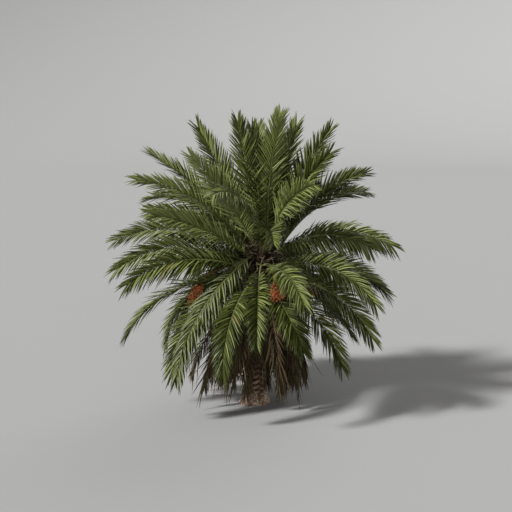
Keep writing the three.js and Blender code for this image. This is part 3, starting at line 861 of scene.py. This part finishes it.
# Share of the first rank that takes its spray's own tint, drawn or named below. The named tints also paint
# light and shade: sprays in the light take the pale tints and sprays in shade the darker ones
DRAWN_TINT_SHARE = 0.42
NAMED_TINT_SHARE = 0.72
SPRAY_TINTS = {
    "new": (
        "high_1", "high_3", "rising_2", "spread_1", "spread_2", "spread_3", "spread_4", "level_1",
        "level_5", "erect_2", "erect_4"),
    "bright": ("erect_1", "rising_5", "mid_1", "mid_2", "level_2", "level_6", "low_2"),
    "olive": ("rising_4", "fall_2", "fall_5", "hang_1", "hang_3"),
    "deep": ("high_2", "rising_1", "mid_5", "fall_3", "fall_4", "hang_2", "hang_5"),
    "grey": ("high_4", "mid_4"),
}
NAMED_TINT = {f"frond_{spray}": tint for tint, sprays in SPRAY_TINTS.items() for spray in sprays}
# Sprays in the light, as pale in their lower ranks as in the first, with no painted shade there
LIT_SPRAYS = (
    "frond_erect_1", "frond_high_3", "frond_high_4", "frond_rising_2", "frond_mid_1", "frond_spread_1",
    "frond_level_6", "frond_fall_2")
# Sprays with rows of leaflets in painted shade: 1 for the row left of the rib, seen from its base, and -1
# for the right
SHADED_ROWS = {
    "frond_spread_4": [-1], "frond_mid_6": [1, -1], "frond_low_2": [-1], "frond_fall_2": [-1],
    "frond_level_6": [-1], "frond_fall_3": [-1], "frond_hang_2": [-1], "frond_level_5": [-1],
    "frond_mid_2": [-1],
}


def together(groups):
    """Groups of leaflets joined into one."""
    return {key: np.concatenate([group[key] for group in groups]) for key in groups[0]}


def picked(leaflets, chosen):
    """The chosen leaflets of a group."""
    return {key: values[chosen] for key, values in leaflets.items()}


def leaflet_size(share):
    """Length of a leaflet against the longest, by its place from the first (0) to the tip (1)."""
    growing = FIRST_LEAFLET_SHARE + (1 - FIRST_LEAFLET_SHARE) * share / LONGEST_LEAFLET_AT
    past = np.clip((share - LONGEST_LEAFLET_AT) / (1 - LONGEST_LEAFLET_AT), 0, 1)
    fading = 1 + (LAST_LEAFLET_SHARE - 1) * past ** BEND_POWER
    return np.where(share < LONGEST_LEAFLET_AT, growing, fading)


def leaflets_on(rib, count, start, longest, angles, lift, droop, width, draws):
    """Both rows of leaflets on one rib, as arrays of roots, headings, widths and so on."""
    rows = []
    for hand in (1, -1):
        place = np.clip((np.arange(count) + draws.uniform(*PLACE_RANGE, count)) / count, 0, 1)
        share = start + (1 - start) * place
        tangent = unit(along(rib, "tangent", share))
        side = unit(along(rib, "side", share)) * hand
        upper = unit(along(rib, "upper", share))
        angle = angles[0] + (angles[1] - angles[0]) * place
        angle = np.radians(angle + draws.normal(0, ANGLE_SPREAD, count))
        rank = np.arange(count) % len(RANK_LIFT)
        tilt = lift[0] + (lift[1] - lift[0]) * place
        tilt = np.radians(tilt + RANK_LIFT[rank] + draws.normal(0, LIFT_SPREAD, count))
        heading = (tangent * np.cos(angle)[:, None]
                   + side * (np.sin(angle) * np.cos(tilt))[:, None]
                   + upper * (np.sin(angle) * np.sin(tilt))[:, None])
        across = unit(tangent - heading * np.sum(tangent * heading, 1, keepdims=True)) * -hand
        across = turned(across, heading, draws.normal(0, ROLL_SPREAD, count))
        half = rib_half_width(share, rib["base"])[:, None]
        size = leaflet_size(place)
        broad = LEAST_WIDTH_SHARE + (1 - LEAST_WIDTH_SHARE) * size
        rows.append({
            "root": along(rib, "place", share) + SEAT_ASIDE * half * side + SEAT_UP * half * upper,
            "heading": heading, "across": across, "rank": rank,
            "length": longest * size * draws.normal(1, LENGTH_SPREAD, count),
            "width": width * broad * draws.normal(1, WIDTH_SPREAD, count),
            "droop": droop * draws.uniform(*DROOP_RANGE, count)})
    return together(rows)


def blade_piece(name, leaflets, fold, thickness):
    """One mesh of closed folded blades: rings of left edge, crease, right edge and underside."""
    count, rings = len(leaflets["root"]), len(BLADE_STATIONS)
    heading, across = leaflets["heading"][:, None], leaflets["across"][:, None]
    normal = np.cross(heading, across)
    station = BLADE_STATIONS[None, :, None]
    long = leaflets["length"][:, None, None]
    sag = leaflets["droop"][:, None, None] * long
    middle = leaflets["root"][:, None] + heading * long * station - upright * sag * station ** 2
    half = 0.5 * leaflets["width"][:, None, None] * BLADE_WIDTHS[None, :, None]
    thick = 0.5 * thickness
    ring = np.stack([
        middle + across * half + normal * half * fold, middle + normal * thick,
        middle - across * half + normal * half * fold, middle - normal * thick], 2)
    tip = leaflets["root"] + leaflets["heading"] * long[:, 0] - upright * sag[:, 0]
    points = np.concatenate([ring.reshape(count, -1, 3), tip[:, None]], 1)
    corners = ring.shape[2]
    stride = corners * rings + 1
    first = (np.arange(count) * stride)[:, None, None]
    here = np.arange(corners)
    quads = first + np.concatenate([grid_faces(rings, corners), here[None, ::-1]])[None]
    last = corners * (rings - 1)
    point = np.stack([last + here, last + (here + 1) % corners, np.full(corners, stride - 1)], -1)
    return mesh_object(
        name, points.reshape(-1, 3), quads.reshape(-1, 4), (first + point[None]).reshape(-1, 3))


def waxy_skin(name, colour, dull, glossy, specular):
    """Finish of a leaf or fruit: one plain colour, finely veined, whose gloss changes in patches."""
    made, tree, shader = principled(name, colour, dull, specular)
    mask = raised_streaks(tree, shader, fineness=90.0, stretch=(1, 1, 1), bump=0.2, depth=0.002)
    gloss = add_node(tree, "ShaderNodeMapRange", {"Value": mask, "To Min": glossy, "To Max": dull})
    tree.links.new(gloss["Result"], shader.inputs["Roughness"])
    return made


draws = np.random.default_rng(LEAFLET_SEED)
green_leaflets, green_tints = [], []
for rib in green_fronds:
    name, ring_name = rib["name"], rib["ring"]
    ring_lift = (RING_LIFT[ring_name], RING_LIFT[ring_name])
    usual = (LEAFLET_ANGLES, ring_lift, RING_DROOP[ring_name], LEAFLET_LENGTH, LEAFLET_START)
    angles, lift, droop, longest, bare = OWN_BLADES.get(name, usual)
    a_side = INNER_LEAFLETS_A_SIDE if name == "inner" else LEAFLETS_A_SIDE
    made = leaflets_on(rib, a_side, bare, longest, angles, lift, droop, LEAFLET_WIDTH, draws)
    count = len(made["root"])
    chances = np.array(TINT_SHARES[RING_AGE[ring_name]])
    drawn_tint = draws.choice(list(GREENS)[:-1], p=chances[:-1] / chances[:-1].sum())
    tint = draws.choice(len(GREENS), count, p=chances)
    own_share = NAMED_TINT_SHARE if name in NAMED_TINT else DRAWN_TINT_SHARE
    tint[draws.uniform(size=count) < own_share] = list(GREENS).index(NAMED_TINT.get(name, drawn_tint))
    under = "under_old" if RING_AGE[ring_name] == "old" else "under"
    under_tint = draws.choice(len(GREENS), count, p=TINT_SHARES[under])
    # Lower ranks take the under tints, painted shade beneath the first rank, except on sprays in the light
    if name not in LIT_SPRAYS:
        tint = np.where(made["rank"] == 0, tint, under_tint)
    # Rows in painted shade take the dull tints, the darkest
    shaded_row = np.isin(np.repeat((1, -1), a_side), SHADED_ROWS.get(name, []))
    tint = np.where(shaded_row, draws.choice(len(GREENS), count, p=TINT_SHARES["dull"]), tint)
    green_leaflets.append(made)
    green_tints.append(tint)
green_leaflets, green_tints = together(green_leaflets), np.concatenate(green_tints)
for index, (tint_name, colour) in enumerate(GREENS.items()):
    piece = blade_piece(f"leaflets_{tint_name}", picked(green_leaflets, green_tints == index),
                        LEAFLET_FOLD, LEAFLET_THICKNESS)
    piece.data.materials.append(waxy_skin(
        f"leaflet_{tint_name}", colour, dull=0.58, glossy=0.36, specular=0.4))
    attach(piece, "root")

# Dead fronds
# Below the green crown the oldest fronds have dried brown and hang round the trunk, clump by clump
# from old bases, with more behind them and short ones in front. Their leaflets hang limp and curl in.
DEAD_SEED = 23
DEAD_BASE = 0.060
# Clumps round the trunk: azimuth, how far each leans out against the rest, and share of full length
DEAD_CLUMPS = [(-44, -4, 0.96), (10, -6, 0.92), (64, 0, 0.92), (118, 0, 0.92), (172, 8, 1), (-138, 10, 1)]
# Fronds of a clump: heading and seat against its azimuth, height, rise, bend, twist and length
CLUMP_FRONDS = [
    (-21, -5, 2.560, -58, 29, 45, 2.36),
    (0, 0, 2.582, -48, 38, -40, 2.44),
    (21, 5, 2.538, -64, 22, 30, 2.06)]
# Single fronds behind the clumps, then in the gap at the front: sweep of azimuths, number, and ranges of
# rise, bend and length
SINGLE_FRONDS = [
    ((-60, 238), 26, (-76, -62), (8, 18), (1.70, 2.15)),
    ((-122, -60), 6, (-80, -70), (4, 12), (1.05, 1.40))]
SINGLE_SCATTER = 3
SINGLE_TWIST = (-30, 30)
SINGLE_Z = (2.30, 2.54)
DEAD_LEAFLETS_A_SIDE = 66
DEAD_LEAFLET_LENGTH = 0.52
DEAD_LEAFLET_WIDTH = 0.029
DEAD_LEAFLET_THICKNESS = 0.0024
DEAD_ANGLES = (48, 18)
DEAD_DROOP = 0.12
DEAD_FOLD = 0.55
# How dry leaflets differ: curl in radians, length, and how far they give way to hang straight down
DEAD_CURL = (-0.9, 0.9)
DEAD_LENGTHS = (0.7, 1.15)
LIMPNESS = (0.00, 0.55)
# A few leaflets are far longer than the rest, and all end clear of the ground
STRAY_SHARE = 0.06
STRAY_LENGTH = 1.8
LEAST_HEIGHT = 0.03
LEAST_LENGTH = 0.03
LEAST_FALL = 0.001
BROWNS = {
    "umber": (0.062, 0.043, 0.021),
    "brown": (0.122, 0.086, 0.043),
    "tan": (0.185, 0.134, 0.074),
    "faded": (0.112, 0.098, 0.041),
}
BROWN_SHARES = (0.32, 0.40, 0.13, 0.15)
DRY_TONES = [(0.060, 0.038, 0.020), (0.140, 0.095, 0.050), (0.260, 0.200, 0.120)]

draws = np.random.default_rng(DEAD_SEED)
dead_fronds = []
for azimuth, lean, grown_share in DEAD_CLUMPS:
    for heading, seat, seat_z, rise, bend, twist, length in CLUMP_FRONDS:
        dead_fronds.append(rib_curve(azimuth + heading, rise + lean, bend, twist, length * grown_share,
                                     seat_z, azimuth + seat))
for sweep, number, rises, bends, lengths in SINGLE_FRONDS:
    for azimuth in np.linspace(*sweep, number):
        rise, bend = draws.uniform(*rises), draws.uniform(*bends)
        dead_fronds.append(rib_curve(
            azimuth + draws.normal(0, SINGLE_SCATTER), rise, bend, draws.uniform(*SINGLE_TWIST),
            draws.uniform(*lengths), draws.uniform(*SINGLE_Z)))
dead_ribs = joined_tubes("dead_ribs", [
    rib_tube(rib, rib_half_width(rib["share"], DEAD_BASE), flat_top=0.25, keel=0.5) for rib in dead_fronds])
smooth(dead_ribs)
dead_ribs.data.materials.append(fibrous(
    "dry_rib", DRY_TONES, fineness=30.0, stretch=(1, 1, 0.3), roughness=0.8, bump=0.3))
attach(dead_ribs, "root")
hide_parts(*[f"dead_fronds_{k + 1}" for k in range(len(DEAD_CLUMPS))])

dead_leaflets = []
for rib in dead_fronds:
    rib["base"] = DEAD_BASE
    made = leaflets_on(rib, DEAD_LEAFLETS_A_SIDE, LEAFLET_START, DEAD_LEAFLET_LENGTH, DEAD_ANGLES,
                       (0, 0), DEAD_DROOP, DEAD_LEAFLET_WIDTH, draws)
    count = len(made["root"])
    limp = draws.uniform(*LIMPNESS, count)[:, None]
    made["heading"] = unit(made["heading"] * (1 - limp) - upright * limp)
    flat = made["across"] - made["heading"] * np.sum(made["across"] * made["heading"], 1, keepdims=True)
    made["across"] = turned(unit(flat), made["heading"], draws.uniform(*DEAD_CURL, count))
    fall = np.maximum(LEAST_FALL, made["droop"] - made["heading"][:, 2])
    room = np.maximum(LEAST_LENGTH, (made["root"][:, 2] - LEAST_HEIGHT) / fall)
    stretch = np.where(draws.uniform(size=count) < STRAY_SHARE, STRAY_LENGTH, 1)
    made["length"] = np.minimum(made["length"] * stretch * draws.uniform(*DEAD_LENGTHS, count), room)
    dead_leaflets.append(made)
dead_leaflets = together(dead_leaflets)
dead_tints = draws.choice(len(BROWNS), len(dead_leaflets["root"]), p=BROWN_SHARES)
# Painted shade: the first clump hangs in the shade under the thickest green, so it has no pale leaflets
shaded_clump = np.arange(len(dead_tints)) < 2 * DEAD_LEAFLETS_A_SIDE * len(CLUMP_FRONDS)
pale_tint = np.isin(dead_tints, [list(BROWNS).index(tint_name) for tint_name in ("tan", "faded")])
dead_tints[shaded_clump & pale_tint] = list(BROWNS).index("umber")
for index, (tint_name, colour) in enumerate(BROWNS.items()):
    piece = blade_piece(f"dry_leaflets_{tint_name}", picked(dead_leaflets, dead_tints == index),
                        DEAD_FOLD, DEAD_LEAFLET_THICKNESS)
    piece.data.materials.append(waxy_skin(
        f"dry_leaflet_{tint_name}", colour, dull=0.88, glossy=0.66, specular=0.25))
    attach(piece, "root")

# Hanging strips
# Loose strips of the oldest leaves, dried to a pale brown, still cling to the trunk below the skirt. Each
# is one folded blade that hangs from the stem at its own azimuth in degrees.
STRIP_TURNS = (-164, -146, -124, -114, -63, -50, -14, 18, 48, 85, 118, 150)
STRIP_Z = (1.00, 1.45)
STRIP_SHARE = (0.62, 0.86)
STRIP_CLEARANCE = 0.045
STRIP_LEAN = 0.06
STRIP_ROLL = 0.4
STRIP_WIDTH = 0.046
STRIP_WIDTHS = (0.7, 1.2)
STRIP_TONES = [(0.110, 0.074, 0.040), (0.250, 0.178, 0.104), (0.420, 0.325, 0.210)]

strips_made = len(STRIP_TURNS)
strip_turn = np.radians(STRIP_TURNS)
strip_down = unit(STRIP_LEAN * level_way(strip_turn) - upright)
strip_aside = level_way(strip_turn + math.pi / 2)
strip_top = draws.uniform(*STRIP_Z, strips_made)
strips = blade_piece("hanging_strips", {
    "root": on_trunk(strip_turn, strip_top, STRIP_CLEARANCE),
    "heading": strip_down,
    "across": turned(strip_aside, strip_down, draws.normal(0, STRIP_ROLL, strips_made)),
    "length": strip_top * draws.uniform(*STRIP_SHARE, strips_made),
    "width": STRIP_WIDTH * draws.uniform(*STRIP_WIDTHS, strips_made),
    "droop": np.zeros(strips_made)}, DEAD_FOLD, DEAD_LEAFLET_THICKNESS)
strips.data.materials.append(fibrous(
    "hanging_strip", STRIP_TONES, fineness=40.0, stretch=(1, 1, 0.3), roughness=0.85, bump=0.3))
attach(strips, "root")

# Dry bracts
# The boat-shaped sheaths that once wrapped the flower stalks stay on at the heart as curled, woody
# strips of olive brown, wedged between the leaf bases.
BRACT_SEED = 29
BRACTS = 150
BRACT_FIRST_TURN = -95
BRACT_SCATTER = 6
BRACT_Z = (2.95, 3.84)
BRACT_RISE = (-12, 52)
BRACT_WRAP = (25, 80)
BRACT_ROLL = 0.5
BRACT_LENGTH = (0.30, 0.58)
BRACT_WIDTH = 0.034
BRACT_WIDTHS = (0.7, 1.2)
BRACT_DROOP = (0.1, 0.6)
BRACT_FOLD = 0.75
BRACT_THICKNESS = 0.007
BRACT_TONES = [(0.035, 0.027, 0.013), (0.105, 0.084, 0.047), (0.280, 0.235, 0.150)]

draws = np.random.default_rng(BRACT_SEED)
bract_turn = BRACT_FIRST_TURN + np.arange(BRACTS) * 360 / BRACTS
bract_turn = np.radians(bract_turn + draws.normal(0, BRACT_SCATTER, BRACTS))
bract_rise = np.radians(draws.uniform(*BRACT_RISE, BRACTS))
bract_way = bract_turn + np.radians(draws.uniform(*BRACT_WRAP, BRACTS)) * draws.choice((-1, 1), BRACTS)
bract_ahead = raised_way(level_way(bract_way), bract_rise)
bract_side = level_way(bract_way + math.pi / 2)
bracts = blade_piece("dry_bracts", {
    "root": on_trunk(bract_turn, draws.uniform(*BRACT_Z, BRACTS), 0.0),
    "heading": bract_ahead,
    "across": turned(bract_side, bract_ahead, math.pi + draws.normal(0, BRACT_ROLL, BRACTS)),
    "length": draws.uniform(*BRACT_LENGTH, BRACTS),
    "width": BRACT_WIDTH * draws.uniform(*BRACT_WIDTHS, BRACTS),
    "droop": draws.uniform(*BRACT_DROOP, BRACTS)}, BRACT_FOLD, BRACT_THICKNESS)
bracts.data.materials.append(fibrous(
    "dry_bract", BRACT_TONES, fineness=24.0, stretch=(1, 1, 1), roughness=0.75, bump=0.3))
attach(bracts, "root")

# Fruit
# Each bunch hangs from a flat orange stalk that comes out between the leaf bases. Its end divides into
# many thin strands, beaded along their length with small oval fruit.
BUNCH_SEED = 31
BUNCH_Z = 3.165
# Bunches: azimuth, rise and bend of the stalk in degrees, its length, the drop and number of the strands,
# and the share of them whose fruit is red, the darker tint that also paints shade
BUNCHES = [
    (-74, 8, 60, 0.90, 0.30, 44, 1.0), (-171, 6, 54, 1.28, 0.52, 22, 0.0), (-14, 0, 60, 0.86, 0.33, 30, 0.5),
    (60, 2, 60, 1.00, 0.40, 30, 0.3), (134, 4, 58, 1.15, 0.46, 30, 0.6)]
STALK_WIDTH = 0.044
STALK_TIP_WIDTH = 0.026
STALK_STEPS = 20
STALK_TONES = [(0.220, 0.100, 0.030), (0.360, 0.180, 0.050), (0.460, 0.270, 0.090)]
STRAND_STEPS = 8
STRAND_TURN = 2.4
STRAND_SPREAD = 0.175
STRAND_RADIUS = 0.0034
STRAND_TIP_SHARE = 0.7
# A strand leaves the last part of the stalk, arches over a knee and hangs: share of the stalk, then, as
# shares of the drop, how far its foot lies ahead and below, and its knee ahead and above
STRAND_ROOT = (0.0, 0.16)
FOOT_AHEAD = 0.35
FOOT_BELOW = (0.3, 0.8)
KNEE_AHEAD = 0.22
KNEE_ABOVE = 0.06
# The knee lies to the side by this share of what its foot does
KNEE_SPREAD = 0.75
FRUIT_LENGTH = 0.046
FRUIT_WIDTH = 0.035
FRUIT_SPACING = 0.052
FRUIT_SHIFT = 0.030
FRUIT_START = 0.36
FRUIT_FIRST_SEED = 40
# Least and most of what differs: size, way off the strand in shares of the shift, and turn in radians
FRUIT_GRADE = (0.72, 1.1)
FRUIT_WAYS = ((-1, -1, -0.4), (1, 1, 0.4))
FRUIT_TURNS = ((-0.9, -0.9, 0), (0.9, 0.9, 6.28))
# Fruit tints: the orange is made paler as painted light and fills the left bunch, the red is made darker as
# painted shade and fills the front bunch under the fronds; both are also the fruit's own ripening colours
FRUITS = {"orange": (0.84, 0.270, 0.095), "red": (0.42, 0.080, 0.026)}

stalks = [rib_curve(azimuth, rise, bend, 0, length, BUNCH_Z, steps=STALK_STEPS)
          for azimuth, rise, bend, length, *_ in BUNCHES]
fruit_stalks = joined_tubes("fruit_stalks", [
    rib_tube(rib, rib_half_width(rib["share"], STALK_WIDTH, STALK_TIP_WIDTH), flat_top=0.4, keel=0.5)
    for rib in stalks])
smooth(fruit_stalks)
stalk_skin = fibrous("fruit_stalk", STALK_TONES, fineness=26.0, stretch=(1, 1, 1), roughness=0.5, bump=0.15)
fruit_stalks.data.materials.append(stalk_skin)
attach(fruit_stalks, "root")
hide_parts(*[f"fruit_{k + 1}" for k in range(len(BUNCHES))])

draws = np.random.default_rng(BUNCH_SEED)
strand_lines, strand_red = [], []
step = np.linspace(0, 1, STRAND_STEPS)[:, None]
for rib, (*_, drop, strands_here, red_share) in zip(stalks, BUNCHES):
    end, ahead = rib["place"][-1], rib["tangent"][-1]
    for k in range(strands_here):
        sideways = STRAND_SPREAD * math.sqrt((k + 0.5) / strands_here) * level_way(k * STRAND_TURN)
        root = end - ahead * rib["length"] * draws.uniform(*STRAND_ROOT)
        foot = end + ahead * FOOT_AHEAD * drop - upright * drop * draws.uniform(*FOOT_BELOW) + sideways
        knee = root + ahead * KNEE_AHEAD * drop + KNEE_SPREAD * sideways + upright * KNEE_ABOVE * drop
        strand_lines.append((1 - step) ** 2 * root + 2 * step * (1 - step) * knee + step ** 2 * foot)
    strand_red.append(draws.uniform(size=strands_here) < red_share)
strand_lines, strand_red = np.array(strand_lines), np.concatenate(strand_red)


def fruit_tree():
    """Oval fruit set along the outer part of a host's lines, each turned its own way."""
    tree, given, result = growing_tree("fruit_on_strands", {
        "Spacing": "Float", "Length": "Float", "Width": "Float", "Shift": "Float", "Start": "Float",
        "Seed": "Int"})
    lines = add_node(tree, "GeometryNodeMeshToCurve", {"Mesh": given["Geometry"]})
    outer = add_node(tree, "GeometryNodeTrimCurve", {"Curve": lines["Curve"], "Start": given["Start"]})
    beads = add_node(tree, "GeometryNodeResampleCurve", {
        "Curve": outer["Curve"], "Length": given["Spacing"]}, mode="LENGTH")
    aside, turn = [
        add_node(tree, "FunctionNodeRandomValue", {"Min": least, "Max": most, "Seed": given["Seed"]},
                 data_type="FLOAT_VECTOR") for least, most in (FRUIT_WAYS, FRUIT_TURNS)]
    shift = add_node(tree, "ShaderNodeVectorMath", {0: aside["Value"], "Scale": given["Shift"]},
                     operation="SCALE")
    moved = add_node(tree, "GeometryNodeSetPosition", {
        "Geometry": beads["Curve"], "Offset": shift["Vector"]})
    oval = add_node(tree, "GeometryNodeMeshUVSphere", {"Segments": 8, "Rings": 6, "Radius": 0.5})
    size = add_node(tree, "ShaderNodeCombineXYZ", {
        "X": given["Width"], "Y": given["Width"], "Z": given["Length"]})
    sized = add_node(tree, "GeometryNodeTransform", {"Geometry": oval["Mesh"], "Scale": size["Vector"]})
    rounded = add_node(tree, "GeometryNodeSetShadeSmooth", {"Geometry": sized["Geometry"]})
    grade = add_node(tree, "FunctionNodeRandomValue", {
        LEAST_NUMBER: FRUIT_GRADE[0], MOST_NUMBER: FRUIT_GRADE[1], "Seed": given["Seed"]})
    fruits = add_node(tree, "GeometryNodeInstanceOnPoints", {
        "Points": moved["Geometry"], "Instance": rounded["Geometry"], "Rotation": turn["Value"],
        "Scale": grade[DRAWN_NUMBER]})
    return finish_tree(tree, fruits["Instances"], given, result)


ovals = fruit_tree()
strands = grown(lines_host("fruit_strands", strand_lines), threads, {
    "Radius": STRAND_RADIUS, "Tip share": STRAND_TIP_SHARE, "Sides": 5, "Material": stalk_skin})
smooth(strands)
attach(strands, "root")
for index, (tint_name, colour) in enumerate(FRUITS.items()):
    fruit_skin = waxy_skin(f"fruit_{tint_name}", colour, dull=0.5, glossy=0.3, specular=0.4)
    chosen = strand_red == (tint_name == "red")
    fruits = grown(lines_host(f"fruits_{tint_name}", strand_lines[chosen]), ovals, {
        "Spacing": FRUIT_SPACING, "Length": FRUIT_LENGTH, "Width": FRUIT_WIDTH, "Shift": FRUIT_SHIFT,
        "Start": FRUIT_START, "Seed": FRUIT_FIRST_SEED + index, "Material": fruit_skin})
    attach(fruits, "root")
